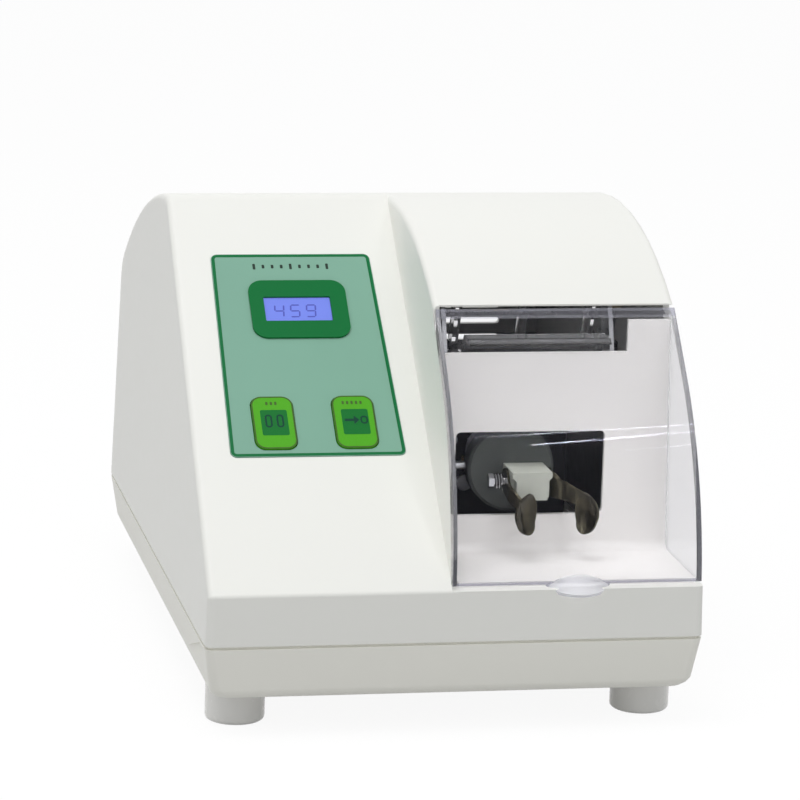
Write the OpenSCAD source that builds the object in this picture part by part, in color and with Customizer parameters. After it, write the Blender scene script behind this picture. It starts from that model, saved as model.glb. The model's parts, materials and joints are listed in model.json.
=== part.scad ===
/* [Housing] */
// Width of the housing at the seam
body_w = 230; // [200:1:260]
// Height of the straight front fascia above the seam
fascia_h = 23.5; // [20:0.5:30]
// Angle of the sloping control face
slope_angle = 40; // [36:0.5:44]
// Distance from the front face to the middle of the ridge rounding
ridge_y = 183.5; // [170:0.5:200]
// Radius of the ridge rounding
ridge_r = 12; // [6:1:20]
// Radius of the long curve from the ridge to the back
top_r = 283; // [240:1:320]
// Radius of the rounding at the top of the rear wall
rear_r = 20; // [10:1:30]
// Lean of the rear wall
rear_tilt = 4; // [1:0.5:6]
// Inward lean of the side walls
side_draft = 1.4; // [0.5:0.1:2.5]
// Rounding of the side edges
edge_r = 3; // [1.5:0.5:5]
// Thickness of the moulded walls
wall = 3; // [2:0.5:4]

/* [Hood and cover] */
// Radius of the hood profile
hood_r = 190; // [170:1:210]
// Left face of the hood and of the mixing chamber
hood_x = -3; // [-10:0.5:5]
// Distance from the front face to the lip of the hood
lip_y = 63; // [58:0.5:70]
// Radius of the curved front of the cover
cover_r = 135; // [120:1:150]
// Arc of the cover from its lower edge
cover_arc = 42; // [38:0.5:46]
// Set-back of the cover from the fascia
cover_y = 3.5; // [2.5:0.5:5]
// Thickness of the clear cover
cover_t = 2.5; // [2:0.1:3]
// Distance of the cover axle from the front face
axle_y = 85; // [80:0.5:90]
// Height of the cover axle above the seam
axle_z = 143; // [138:0.5:145]

/* [Base] */
// Height of the base pan below the seam
pan_h = 26; // [20:0.5:32]
// Inward lean of the pan walls from top to bottom
pan_taper = 3.5; // [2:0.5:5]
// Height of the feet below the pan
foot_h = 17.5; // [12:0.5:22]
// Diameter of the feet
foot_d = 27.5; // [22:0.5:32]
// Distance of the front feet from the centre line
foot_x = 95.5; // [85:0.5:98]
// Distance of the rear feet from the centre line
rear_foot_x = 84; // [75:0.5:98]
// Distance of the front feet from the front face
foot_y = 35; // [25:0.5:50]

/* [Control face] */
// Middle of the control face
panel_x = -55; // [-60:0.5:-50]
// Lower edge of the overlay along the slope
panel_v = 77; // [70:0.5:85]
// Height of the overlay along the slope
panel_h = 120; // [100:1:130]
// Width of the overlay at its lower edge
panel_w = 82; // [70:0.5:90]
// Width of the overlay at its upper edge
panel_top_w = 76.5; // [66:0.5:86]
// Spacing of the two buttons
button_pitch = 38; // [34:0.5:42]
// Middle of the buttons along the slope
button_v = 96; // [90:0.5:100]
// Width and height of a button
button_size = [19.5, 30]; // [15:0.5:32]

/* [Mechanism] */
// Sideways place of the motor shaft
shaft_x = 37.5; // [30:0.5:45]
// Height of the motor shaft above the seam
shaft_z = 64; // [60:0.5:68]
// Radius of the wobble hub
hub_r = 20.5; // [16:0.5:22]
// Distance of the hub middle from the front face
hub_y = 75; // [74:0.5:77]
// Diameter of the motor
motor_d = 64; // [50:1:70]
// Distance of the motor front from the front face
motor_y = 110; // [104:1:120]
// Length of the motor can
motor_l = 70; // [50:1:90]
// Tilt of the wobble sleeve on the shaft
sleeve_tilt = 5; // [2:0.5:6]
// Length of capsule that the claws hold
capsule_l = 29.5; // [26:0.5:34]

/* [Hidden] */
half_w = body_w / 2;
seam_z = pan_h + foot_h;
slope_tan = tan(slope_angle);

// Centres of the arcs in the side profile, as distance from the front and height above the seam
ridge_c = [ridge_y, fascia_h + ridge_y * slope_tan - ridge_r / cos(slope_angle)];
ridge_end = 84;
top_c = ridge_c - (top_r - ridge_r) * [cos(ridge_end), sin(ridge_end)];
top_end = 54;
rear_c = top_c + (top_r - rear_r) * [cos(top_end), sin(top_end)];
rear_foot = rear_c[0] + rear_r * cos(rear_tilt) + (rear_c[1] + rear_r * sin(rear_tilt)) * tan(rear_tilt);
hood_join = 82;
hood_c = top_c + (top_r - hood_r) * [cos(hood_join), sin(hood_join)];
lip_angle = acos((lip_y - hood_c[0]) / hood_r);
lip_z = hood_c[1] + hood_r * sin(lip_angle);
lip_edge = 0.8;
cover_c = [cover_y + cover_r, fascia_h + 1.5];
cover_end = 180 - cover_arc;
cover_knee = cover_c + cover_r * [cos(cover_end), sin(cover_end)];
cover_top_y = lip_y - 1.7;
cover_rise = 1 / tan(cover_arc);

// Thumb grip, as a visor on the lower edge of the cover
thumb_x = 56;
thumb_z = 30.5;
thumb_l = 13;
thumb_w = 33;
thumb_rise = 5.5;
thumb_tilt = 40;
thumb_arc = (pow(thumb_w / 2, 2) + pow(thumb_rise, 2)) / (2 * thumb_rise);
thumb_round = (pow(thumb_w / 2, 2) + pow(thumb_l, 2)) / (2 * thumb_l);

// Power inlet and switch on the rear wall
inlet_x = -72;
inlet_z = 28;
rocker_x = -25;
rocker_tilt = 6;
blade_spots = [[-7, 0], [0, -4], [7, 0]];
drawer_top = 3.9;
drawer_low = 15.1;

// Space that the outer parts take in front of and behind the housing
thumb_out = thumb_l * cos(thumb_tilt) - cover_y - 1;
rear_out = drawer_top * cos(rear_tilt) + drawer_low * sin(rear_tilt) - inlet_z * tan(rear_tilt);
mid_y = (rear_foot + rear_out - thumb_out) / 2;

// Chamber
wing_t = 2;
wing_l = hood_x + 0.8;
side_gap = 0.4;
liner_l = wing_l + wing_t + 1.2;
liner_gap = side_gap + wing_t + 0.5;
liner_w = half_w - liner_l;
liner_y = 60;
liner_t = 2.5;
floor_z = fascia_h;
floor_y = cover_y + cover_t + 0.9;
liner_post = [12, 52, 92];
liner_post_y = 14;
liner_post_z = 16;
bracket_y = liner_y + liner_t + 4;
bracket_spots = [[8.3, 92], [8.3, 106], [88, 92], [88, 106]];
slot_z = 120;
slot_r = 89;
window_x = [9, 80];
window_z = [43.5, 83];

// Tongue of the cover, as a ring about the axle
tongue_x = [12, 79];
tongue_r = 26;
tongue_t = 3;
tongue_a = [-35, -112];
hub_od = 12;
axle_d = 5;
cam_x = 88;
cam_l = 11.6;
cam_a = -60;
switch_spots = [[93, 114], [103, 114]];

panel_r = 3;
panel_lean = atan((panel_w - panel_top_w) / 2 / panel_h);
button_x = [panel_x - button_pitch / 2, panel_x + button_pitch / 2];
display_v = 163;
board_w = -14;
board_t = 1.6;
pocket_w = 1 - wall;
spacer_spots = [for (x = [-32, 32], v = [3, 105]) [panel_x + x, panel_v + v]];
foot_back_y = rear_foot - 42;
screw_spots = [for (side = [-1, 1], y = [14, rear_foot - 16]) [side * (half_w - 12), y]];
foot_spots = [[-foot_x, foot_y], [foot_x, foot_y], [-rear_foot_x, foot_back_y], [rear_foot_x, foot_back_y]];
pan_floor = -pan_h + 2.5;
bracket_foot = -13;
bracket_t = 3;
bracket_front = motor_y - 4 - bracket_t;
arm_x = 4.2;
arm_screws = [shaft_z - 7, shaft_z + 7];
pin_d = 3.95;
mount_spots = [[shaft_x - 25.5, motor_y + 4], [shaft_x + 25.5, motor_y + 4],
               [shaft_x - 25.5, motor_y + 62], [shaft_x + 25.5, motor_y + 62]];
power_board_spot = [-92, 170];
power_board_size = [80, 110];
board_spots = [for (x = [4, 76], y = [6, 104]) [power_board_spot[0] + x, power_board_spot[1] + y]];
rim = 0.02;
lap = 0.4;

// Fork
hub_front = 7.8;
block_screws = [[-0.2, 7], [6.6, 0.6]];
block_l = 33.6;
block_w = 18.8;
block_y = 46.5;
bolt_x = 24.2;
bolt_y = 57;
bolt_z = 60.5;
arm_t = 1.1;
arm_l = block_l - 0.3 - arm_t;
arm_r = block_l + block_w + 0.3;
claw_mid = shaft_x + 15.8;
claw_y = 40;
claw_z = shaft_z - 15.2;
coil_x = 27.3;
hook_x = 56.6;
coil_r = 3.4;
coil_wire = 0.55;
coil_turns = 2.5;
coil_pitch = 1.3;
coil_steps = 12;

function arc(c, r, a0, a1, n) = [for (i = [0:n]) let(a = a0 + (a1 - a0) * i / n) c + r * [cos(a), sin(a)]];

// Rear end of every profile, from the ridge over the back and down below the seam
function rear_points(from) = concat(
    arc(top_c, top_r, from, top_end, 10),
    arc(rear_c, rear_r, top_end, rear_tilt, 5),
    [[rear_foot + 5 * tan(rear_tilt), -5]]);

// Side profile of the sloping left part
function slope_points() = concat(
    [[0, -5]],
    arc([2.5, fascia_h - 2.5 * (1 / cos(slope_angle) - slope_tan)], 2.5, 180, 90 + slope_angle, 3),
    arc(ridge_c, ridge_r, 90 + slope_angle, ridge_end, 5),
    rear_points(ridge_end));

// Side profile of the part with the hood, which the cover completes
function hood_points() = concat(
    [[0, -5], [0, fascia_h]],
    arc(cover_c, cover_r, 180, cover_end, 7),
    arc(hood_c, hood_r, lip_angle, hood_join, 8),
    rear_points(hood_join));

// Profile of the cover sheet between two depths below its outer face
function cover_outer(d) = concat(
    arc(cover_c, cover_r - d, 180, cover_end, 12),
    [[cover_top_y, cover_knee[1] + (cover_top_y - cover_knee[0]) * cover_rise - d / sin(cover_arc)]]);

function reversed(points) = [for (i = [len(points) - 1:-1:0]) points[i]];

module at_rest() translate([0, -mid_y, seam_z]) children();

module along_x(x0, x1) translate([x0, 0, 0]) rotate([90, 0, 90]) linear_extrude(x1 - x0) children();

module on_slope() translate([0, 0, fascia_h]) rotate([slope_angle, 0, 0]) children();

module on_rear(x, z)
    translate([x, rear_foot - z * tan(rear_tilt), z]) rotate([rear_tilt - 90, 0, 0]) children();

module on_shaft(y) translate([shaft_x, y, shaft_z]) rotate([-90, 0, 0]) children();

module on_axle(x) translate([x, axle_y, axle_z]) rotate([0, 90, 0]) children();

// Thin slice of a profile at one side, leaning by an angle
module side_slice(x, tilt, inset) translate([x, 0, 0]) rotate([0, tilt, 0]) rotate([90, 0, 90])
    linear_extrude(rim, center = true) offset(delta = -inset) children();

// Solid between two sides with rounded edges on both sides
module soft_block(x0, tilt0, r0, x1, tilt1, r1) hull() {
    for (a = r0 > 0 ? [0:30:90] : [90])
        side_slice(x0 + r0 * (1 - sin(a)), tilt0, r0 * (1 - cos(a))) children();
    for (a = r1 > 0 ? [0:30:90] : [90])
        side_slice(x1 - r1 * (1 - sin(a)), tilt1, r1 * (1 - cos(a))) children();
}

// Solid between two sides with sharp edges
module plain_block(x0, tilt0, x1, tilt1, inset) hull() {
    side_slice(x0, tilt0, inset) children();
    side_slice(x1, tilt1, inset) children();
}

module rounded_rect(size, r) union() {
    square([size[0] - 2 * r, size[1]], center = true);
    square([size[0], size[1] - 2 * r], center = true);
    for (x = [-1, 1], y = [-1, 1])
        translate([x * (size[0] / 2 - r), y * (size[1] / 2 - r)]) circle(r, $fn = 32);
}

// Half of the overlay outline, which narrows upwards, with round corners
function panel_side(v) = panel_w / 2 - v * tan(panel_lean) - panel_r / cos(panel_lean);
function panel_half(margin) = concat(
    arc([panel_side(panel_r), panel_r], panel_r + margin, -90, panel_lean, 4),
    arc([panel_side(panel_h - panel_r), panel_h - panel_r], panel_r + margin, panel_lean, 90, 4));

module panel_shape(margin)
    polygon(concat(panel_half(margin), [for (p = reversed(panel_half(margin))) [-p[0], p[1]]]));

module housing_boss(h) difference() {
    cylinder(d = 9, h = h, $fn = 32);
    translate([0, 0, -1]) cylinder(d = 2.8, h = h - 4, $fn = 32);
}

// Moulded top shell with the sloping control face, the hood and the chamber opening
module upper_housing() color("whitesmoke") at_rest() {
    difference() {
        union() {
            soft_block(-half_w, side_draft, edge_r, hood_x + edge_r + lap, 0, 0) polygon(slope_points());
            soft_block(hood_x, 0, edge_r, half_w, -side_draft, edge_r) polygon(hood_points());
        }
        translate([0, 0, -20]) cube([2 * body_w, 3 * rear_foot, 40], center = true);
        plain_block(-half_w + wall, side_draft, hood_x - wall, 0, wall) polygon(slope_points());
        plain_block(hood_x + wall, 0, half_w - wall, -side_draft, wall) polygon(hood_points());
        intersection() {
            along_x(hood_x - wall - 1, hood_x + wall + 1) offset(delta = -wall) polygon(slope_points());
            translate([-half_w, lip_y + wall, -10]) cube([body_w, rear_foot, 300]);
        }
        chamber_cut();
        panel_cuts();
        rear_cuts();
    }
    liner_ledge();
    for (s = screw_spots) translate([s[0], s[1], rim]) housing_boss(15.5);
    for (side = [-1, 1], y = [14, rear_foot - 16])
        translate([side * (half_w - 5.25) - 3.75, y - 1, 1.5]) cube([7.5, 2, 14]);
}

// Opening of the mixing chamber, with the lip of the hood cut back to a thin edge
module chamber_cut() {
    translate([hood_x, -5, fascia_h]) cube([half_w + 5 - hood_x, lip_y + 5, 200]);
    translate([hood_x + wall, lip_y - 1, lip_z - lip_edge - 8])
        cube([half_w - hood_x - 2 * wall - rim, 10, 8]);
}

// All that lies outside a plane at some depth under the right side face
module right_side_trim(depth)
    translate([half_w - depth, -20, 0]) rotate([0, -side_draft, 0]) cube([20, 120, 200]);

// Ledge inside the fascia that carries the chamber liner
module liner_ledge() {
    translate([hood_x, wall - 0.5, floor_z - wall]) cube([half_w - wall - hood_x, 8, wall]);
    for (x = liner_post) difference() {
        translate([x - 5, wall - 0.5, liner_post_z - wall]) cube([10, liner_post_y + 1.5, wall]);
        translate([x, liner_post_y, 0]) cylinder(d = 3.2, h = 30, $fn = 24);
    }
}

// Openings in the control face for the display and the buttons, and the overlay recess
module panel_cuts() on_slope() {
    translate([panel_x, panel_v, -0.5]) linear_extrude(5) panel_shape(0.2);
    translate([panel_x, display_v, -10]) linear_extrude(20) rounded_rect([36, 19], 1);
    for (x = button_x)
        translate([x, button_v, -10]) linear_extrude(20) rounded_rect(button_size + [0.8, 0.8], 5.2);
    for (s = spacer_spots) translate([s[0], s[1], pocket_w + rim - 4]) cylinder(d = 6.1, h = 4, $fn = 32);
}

// Openings in the rear wall for the mains inlet, the switch and the cooling air
module rear_cuts() {
    on_rear(inlet_x, inlet_z) cube([27.6, 33.6, 20], center = true);
    for (x = [-20, 20]) on_rear(inlet_x + x, inlet_z) cylinder(d = 3, h = 20, center = true, $fn = 24);
    on_rear(rocker_x, inlet_z) cube([13.2, 19.4, 20], center = true);
    for (z = [18:9:90], x = [15, 55])
        on_rear(x + 17.5, z) {
            cube([31, 3.4, 20], center = true);
            for (e = [-1, 1]) translate([e * 15.5, 0, -10]) cylinder(d = 3.4, h = 20, $fn = 24);
        }
}

// Layer of the pan shell at one height
module pan_layer(z, inset, r) translate([0, rear_foot / 2, z])
    linear_extrude(rim) rounded_rect([body_w - 2 * inset, rear_foot - 2 * inset], r);

module pan_shell() hull() {
    pan_layer(-1.4 - rim, 0, 4);
    pan_layer(-pan_h + 5, pan_taper * 0.85, 5);
    pan_layer(-pan_h + 2.5, pan_taper + 0.7, 6);
    pan_layer(-pan_h + 0.7, pan_taper + 2.5, 7);
    pan_layer(-pan_h, pan_taper + 5, 8);
}

// Moulded base pan with its rim, bosses, cooling slots and the slanted grip groove on each side
module base_pan() color("gainsboro") at_rest() difference() {
    union() {
        difference() {
            union() {
                pan_shell();
                translate([0, rear_foot / 2, -3]) linear_extrude(3)
                    rounded_rect([body_w - 3.2, rear_foot - 3.2], 3);
            }
            translate([0, rear_foot / 2, pan_floor]) linear_extrude(pan_h)
                rounded_rect([body_w - 2 * pan_taper - 7, rear_foot - 2 * pan_taper - 7], 4);
        }
        for (s = foot_spots) post(s, 12, 5.5);
        for (s = screw_spots) post(s, 11, -pan_floor);
        for (s = mount_spots) post(s, 10, 2.5);
        for (s = board_spots) post(s, 7, 5.5);
    }
    for (s = foot_spots) translate([s[0], s[1], -pan_h - 1]) cylinder(d = 4.4, h = 12, $fn = 32);
    for (s = screw_spots) screw_hole(s);
    for (s = board_spots) translate([s[0], s[1], pan_floor]) cylinder(d = 2.6, h = 7, $fn = 24);
    for (i = [0:6]) translate([shaft_x - 33 + 11 * i, motor_y + 32, -pan_h - 1]) cooling_slot();
    for (side = [-1, 1]) grip_groove(side);
}

module post(s, d, h) translate([s[0], s[1], pan_floor - 0.5]) cylinder(d = d, h = h + 0.5, $fn = 32);

module screw_hole(s) translate([s[0], s[1], -pan_h - 1]) {
    cylinder(d = 4.4, h = pan_h + 5, $fn = 32);
    cylinder(d = 8, h = 5, $fn = 32);
}

module cooling_slot() union() {
    translate([-1.75, -20, 0]) cube([3.5, 40, 6]);
    for (y = [-20, 20]) translate([0, y, 0]) cylinder(d = 3.5, h = 6, $fn = 24);
}

// Slanted groove in the side of the pan, from the front corner down towards the bottom edge
module grip_groove(side) along_x(side * half_w - 2.8, side * half_w + 2.8)
    polygon([[12.2, -4.9], [19.7, -2.8], [79.1, -21.3], [66.9, -22.2]]);

// Inner lining of the mixing chamber: rear wall with window and slot, and floor
module chamber_liner() color("white") at_rest() difference() {
    union() {
        translate([liner_l, liner_y, floor_z]) cube([liner_w, liner_t, slot_z - floor_z]);
        translate([slot_r, liner_y, floor_z]) cube([half_w - slot_r, liner_t, axle_z - 8 - floor_z]);
        translate([liner_l, floor_y, floor_z]) cube([liner_w, liner_y + 1 - floor_y, liner_t]);
        liner_fillet();
        for (x = liner_post)
            translate([x, liner_post_y, liner_post_z]) cylinder(d = 7, h = floor_z - liner_post_z + 1, $fn = 32);
        for (s = bracket_spots)
            translate([s[0], liner_y + 1, s[1]]) rotate([-90, 0, 0]) cylinder(d = 8, h = liner_t + 3, $fn = 32);
    }
    right_side_trim(liner_gap);
    window_cut();
    translate([liner_l - rim, liner_y - 1, slot_z - 4 + rim]) corner_cut();
    for (x = liner_post) translate([x, liner_post_y, liner_post_z - 1]) cylinder(d = 2.6, h = 7, $fn = 24);
    for (s = bracket_spots)
        translate([s[0], liner_y + 1.5, s[1]]) rotate([-90, 0, 0]) cylinder(d = 2.6, h = 9, $fn = 24);
}

module liner_fillet() difference() {
    translate([liner_l, liner_y - 5, floor_z + liner_t - rim]) cube([liner_w, 5.5, 5]);
    translate([liner_l - 1, liner_y - 5, floor_z + liner_t + 5]) rotate([0, 90, 0])
        cylinder(r = 5, h = liner_w + 2, $fn = 48);
}

module window_cut() translate([(window_x[0] + window_x[1]) / 2, liner_y - 1, (window_z[0] + window_z[1]) / 2])
    rotate([-90, 0, 0]) linear_extrude(liner_t + 2)
    rounded_rect([window_x[1] - window_x[0], window_z[1] - window_z[0]], 2.5);

module corner_cut() difference() {
    cube([4, liner_t + 2, 4]);
    translate([4, -1, 0]) rotate([-90, 0, 0]) cylinder(r = 4, h = liner_t + 4, $fn = 32);
}

// Clear cover: curved front, side wings, curved tongue to the axle, and thumb grip
module front_cover() color("lightblue", 0.4) at_rest() {
    difference() {
        union() {
            along_x(wing_l, half_w) polygon(concat(cover_outer(0), reversed(cover_outer(cover_t))));
            along_x(wing_l, wing_l + wing_t) wing_shape();
            translate([half_w - side_gap, 0, 0]) rotate([0, -side_draft, 0])
                along_x(-wing_t, 1) wing_shape();
        }
        right_side_trim(side_gap);
    }
    cover_tongue();
    thumb_grip();
}

module wing_shape() polygon(concat(
    [[cover_y + 1, cover_c[1]]],
    arc(cover_c, cover_r - 1, 178.5, cover_end, 12),
    [[cover_top_y - 0.3, cover_knee[1] + (cover_top_y - cover_knee[0]) * cover_rise - 3.2],
     [lip_y - 1, axle_z - 22], [lip_y - 1, cover_c[1]]]));

// Tongue that carries the cover on its axle and passes under the lip of the hood
module cover_tongue() {
    along_x(tongue_x[0], tongue_x[1]) polygon(concat(
        arc([axle_y, axle_z], tongue_r + tongue_t, 180 - tongue_a[0], 180 - tongue_a[1], 14),
        arc([axle_y, axle_z], tongue_r, 180 - tongue_a[1], 180 - tongue_a[0], 14)));
    along_x(tongue_x[0], tongue_x[1]) polygon([
        [axle_y - (tongue_r + 1) * cos(tongue_a[0]), axle_z + tongue_r * sin(tongue_a[0])],
        [axle_y - (tongue_r + 1) * cos(tongue_a[0]), axle_z + (tongue_r + tongue_t) * sin(tongue_a[0]) - 0.9],
        [50.5, axle_z + (tongue_r + tongue_t) * sin(tongue_a[0]) - 0.9],
        [53, axle_z + tongue_r * sin(tongue_a[0])]]);
    for (x = [tongue_x[0], (tongue_x[0] + tongue_x[1]) / 2 - 1.5, tongue_x[1] - 3]) tongue_arm(x);
}

module tongue_arm(x) difference() {
    union() {
        on_axle(x) cylinder(d = hub_od, h = 3, $fn = 48);
        along_x(x, x + 3) translate([axle_y, axle_z]) rotate(180 - tongue_a[1]) translate([0, -4])
            square([tongue_r + 1, 8]);
    }
    on_axle(x - 1) cylinder(d = axle_d, h = 5, $fn = 48);
}

// Half-moon visor at the lower edge of the cover, for the thumb
module thumb_grip() difference() {
    translate([thumb_x, cover_y + 1, thumb_z]) rotate([thumb_tilt, 0, 0]) intersection() {
        rotate([90, 0, 0]) translate([0, -thumb_arc, -8]) linear_extrude(8 + thumb_l) difference() {
            circle(thumb_arc, $fn = 128);
            circle(thumb_arc - 2, $fn = 128);
            translate([-50, thumb_arc - 60]) square([100, 52]);
        }
        translate([0, thumb_round - thumb_l, -20]) cylinder(r = thumb_round, h = 40, $fn = 96);
    }
    translate([0, cover_c[0], cover_c[1]]) rotate([0, 90, 0]) cylinder(r = cover_r - 1, h = half_w, $fn = 256);
    translate([0, -0.4, 0]) cube([half_w, 40, fascia_h + 0.5]);
}

// Steel axle that turns with the cover
module hinge_axle() color("silver") at_rest() on_axle(1.5) cylinder(d = axle_d - 0.1, h = 92, $fn = 48);

// Cam at the end of the axle that works the interlock switch
module interlock_cam() color("ivory") at_rest()
    along_x(cam_x, cam_x + 4) translate([axle_y, axle_z]) difference() {
    union() {
        circle(6, $fn = 48);
        rotate(cam_a) translate([0, -1.2]) square([cam_l, 2.4]);
    }
    circle(d = axle_d - 0.1, $fn = 48);
}

// Sheet steel bracket that carries one end of the axle
module hinge_bracket(x, flange) difference() {
    union() {
        along_x(x, x + 2) polygon([
            [bracket_y, 86], [bracket_y, 112], [79, 148], [91, 148], [91, 136], [80, 108], [76, 86]]);
        translate([x + flange, bracket_y, 86]) cube([10, 2, 26]);
        children();
    }
    on_axle(x - 1) cylinder(d = axle_d, h = 4, $fn = 48);
    for (s = bracket_spots)
        translate([s[0], bracket_y - 1, s[1]]) rotate([-90, 0, 0]) cylinder(d = 3.2, h = 6, $fn = 24);
}

module hinge_bracket_left() color("silver") at_rest() hinge_bracket(3.5, -2.5);

module hinge_bracket_right() color("silver") at_rest() difference() {
    hinge_bracket(83, 0) along_x(83, 85) polygon([[76, 104], [110, 108], [110, 120], [84, 120]]);
    for (s = switch_spots) translate([82, s[0], s[1]]) rotate([0, 90, 0]) cylinder(d = 2.4, h = 4, $fn = 24);
}

// Safety switch that tells whether the cover is closed
module interlock_switch() color("dimgray") at_rest() difference() {
    along_x(85 + rim, 91.6) polygon([[88, 109], [108, 109], [108, 119], [88, 119]]);
    for (s = switch_spots) translate([84, s[0], s[1]]) rotate([0, 90, 0]) cylinder(d = 2.4, h = 10, $fn = 24);
}

// Sprung lever of the safety switch, under the cam
module interlock_lever() color("silver") at_rest() {
    along_x(86.4, 90.4) polygon([
        [88.9, 130.2], [89.4, 131.2], [90.6, 130.6], [92.6, 121.9], [106, 120.8], [106, 120.1], [91.8, 121.2]]);
    translate([86.4, 106, 120.9]) rotate([0, 90, 0]) cylinder(r = 1, h = 4, $fn = 24);
}

// Printed overlay of the control face
module panel_overlay() color("mediumaquamarine") at_rest() on_slope() difference() {
    translate([panel_x, panel_v, -0.5]) linear_extrude(0.9) panel_shape(0);
    translate([panel_x, display_v, -2]) linear_extrude(4) rounded_rect([32, 14.5], 0.6);
    for (x = button_x)
        translate([x, button_v, -2]) linear_extrude(4) rounded_rect(button_size + [0.8, 0.8], 5.2);
}

// Raised frame round the display
module display_bezel() color("darkgreen") at_rest() on_slope() difference() {
    translate([panel_x + 0.6, display_v, 0.4]) linear_extrude(1) rounded_rect([46.6, 34.5], 7);
    translate([panel_x, display_v, -2]) linear_extrude(6) rounded_rect([32, 14.5], 0.6);
}

module display_window() color("slateblue") at_rest() on_slope()
    translate([panel_x, display_v, -3.4]) linear_extrude(4) rounded_rect([31.8, 14.3], 0.5);

module lcd_module() color("slategray") at_rest() on_slope()
    translate([panel_x - 20, display_v - 13, board_w + board_t]) cube([40, 26, -3.4 - board_w - board_t]);

// Circuit board that carries the display and the key switches
module control_board() color("seagreen") at_rest() on_slope() difference() {
    translate([panel_x - 37, panel_v - 2, board_w]) cube([74, 112, board_t]);
    for (s = spacer_spots) translate([s[0], s[1], board_w - 1]) cylinder(d = 3.2, h = 4, $fn = 24);
}

module board_spacers() color("gold") at_rest() on_slope()
    for (s = spacer_spots) translate([s[0], s[1], 0]) {
        translate([0, 0, board_w + board_t]) cylinder(d = 6, h = pocket_w - board_w - board_t, $fn = 32);
        translate([0, 0, board_w - 2]) cylinder(d = 5.4, h = 2, $fn = 32);
        translate([0, 0, board_w - 2]) cylinder(d = 3, h = 5, $fn = 32);
    }

module key_switches() color("black") at_rest() on_slope() for (x = button_x)
    translate([x - 3, button_v - 3, board_w + board_t]) cube([6, 6, 3.8]);

// Push button that slides in the control face
module push_button(x) at_rest() on_slope() translate([x, button_v, 0]) {
    translate([0, 0, -3.6]) linear_extrude(4.8) rounded_rect(button_size, 5);
    translate([0, 0, -4.8]) linear_extrude(1.4) rounded_rect(button_size + [3, 3], 6);
    translate([0, 0, -7.2]) cylinder(d = 5, h = 3, $fn = 32);
}

module set_button() color("limegreen") push_button(button_x[0]);

module start_button() color("limegreen") push_button(button_x[1]);

// Board with the motor control parts
module power_board() color("seagreen") at_rest()
    translate([power_board_spot[0], power_board_spot[1], pan_floor + 5.5])
    difference() {
        cube([power_board_size[0], power_board_size[1], board_t]);
        for (x = [4, 76], y = [6, 104]) translate([x, y, -1]) cylinder(d = 3, h = 4, $fn = 24);
    }

module board_screws() color("silver") at_rest() for (s = board_spots) translate([s[0], s[1], pan_floor + 1]) {
    cylinder(d = 2.55, h = 5, $fn = 24);
    translate([0, 0, 4.5 + board_t]) cylinder(d = 5, h = 1.8, $fn = 32);
    cylinder(d = 2.5, h = 7, $fn = 24);
}

module transformer() color("darkslategray") at_rest()
    translate([power_board_spot[0] + 15, power_board_spot[1] + 50, pan_floor + 5.5 + board_t]) {
        cube([50, 42, 34]);
        translate([8, -7, 3]) cube([34, 56, 28]);
    }

// Mains inlet with a fuse drawer, in the rear wall
module power_inlet() color("black") at_rest() on_rear(inlet_x, inlet_z) difference() {
    union() {
        linear_extrude(3) rounded_rect([50, 38], 3);
        translate([-13.6, -16.6, -22]) cube([27.2, 33.2, 22.5]);
    }
    translate([-12, -12.5, -16]) linear_extrude(30) polygon([[0, 5], [4, 0], [20, 0], [24, 5], [24, 17], [0, 17]]);
    translate([-12.2, 8.2, -16]) cube([24.4, 6.6, 30]);
    for (x = [-20, 20]) translate([x, 0, -1]) cylinder(d = 3.2, h = 6, $fn = 24);
    for (p = blade_spots) translate([p[0] - 1 - rim, p[1] - 2.5 - rim, -23]) cube([2 + 2 * rim, 5 + 2 * rim, 8]);
}

// Contact blades that pass through the floor of the socket
module inlet_pins() color("silver") at_rest() on_rear(inlet_x, inlet_z)
    for (p = blade_spots) translate([p[0] - 1, p[1] - 2.5, -27]) cube([2, 5, 25]);

module inlet_screws() color("silver") at_rest()
    on_rear(inlet_x, inlet_z) for (x = [-20, 20]) translate([x, 0, 0]) {
    translate([0, 0, 3 + rim]) cylinder(d = 6, h = 1.4, $fn = 32);
    translate([0, 0, -6]) cylinder(d = 2.9, h = 9.2, $fn = 24);
}

module fuse_drawer() color("black") at_rest() on_rear(inlet_x, inlet_z) difference() {
    union() {
        translate([-11.9, 8.5, -15]) cube([23.8, 6, 18.6]);
        translate([-12.6, drawer_low - 7.2, 3.1]) cube([25.2, 7.2, drawer_top - 3.1]);
    }
    translate([-10.5, 9.4, -13]) cube([21, 8, 13]);
}

module fuse() color("silver") at_rest() on_rear(inlet_x, inlet_z) translate([-10, 12, -6])
    rotate([0, 90, 0]) cylinder(d = 5, h = 20, $fn = 32);

module switch_frame() color("black") at_rest() on_rear(rocker_x, inlet_z) difference() {
    union() {
        linear_extrude(2) rounded_rect([15, 21], 1.5);
        translate([-6.5, -9.6, -12]) cube([13, 19.2, 12.5]);
    }
    translate([-5.4, -8.4, -9]) cube([10.8, 16.8, 20]);
    translate([-7, 0, -2]) rotate([0, 90, 0]) cylinder(d = 2.1, h = 14, $fn = 32);
}

// Rocker of the mains switch, on a cross pin
module power_rocker() color("firebrick") at_rest() on_rear(rocker_x, inlet_z) translate([0, 0, -2]) {
    rotate([-rocker_tilt, 0, 0]) along_x(-4.9, 4.9)
        polygon([[-7, -1.5], [7, -1.5], [7.3, 4.9], [0, 3.9], [-7.3, 4.9]]);
    translate([-6.4, 0, 0]) rotate([0, 90, 0]) cylinder(d = 2, h = 12.8, $fn = 32);
}

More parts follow.
